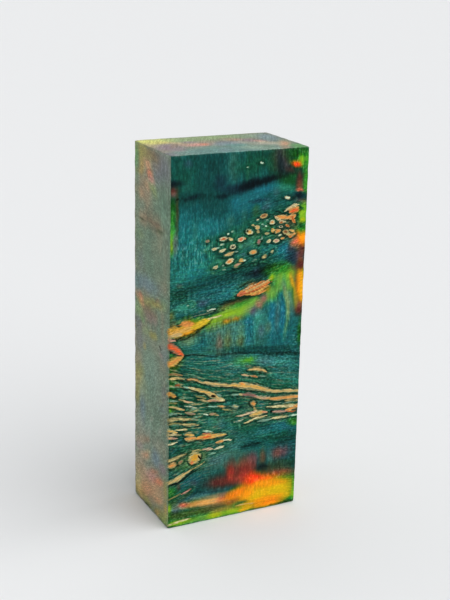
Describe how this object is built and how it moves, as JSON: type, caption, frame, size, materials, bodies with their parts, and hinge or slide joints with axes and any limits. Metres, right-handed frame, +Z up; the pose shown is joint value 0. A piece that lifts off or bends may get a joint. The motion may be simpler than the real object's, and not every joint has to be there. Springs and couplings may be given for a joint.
{
  "type": "stabilized burl block",
  "caption": "Upright rectangular block of dyed, resin-stabilised burl wood with eased edges, for turning or carving into handles, grips and inlays.",
  "frame": {"origin": "middle of the small end that the block stands on", "axes": "+Z up the length of the block, X across its width, Y through its thickness, with the figured show face looking along -Y"},
  "size_m": [0.05, 0.03, 0.13],
  "materials": {
    "dyed_burl": "resin-stabilised burl, dyed teal with green, yellow, orange and crimson patches and tan eyes, sanded to a satin"
  },
  "bodies": {
    "root": {"burl_block": "dyed_burl"}
  },
  "joints": []
}
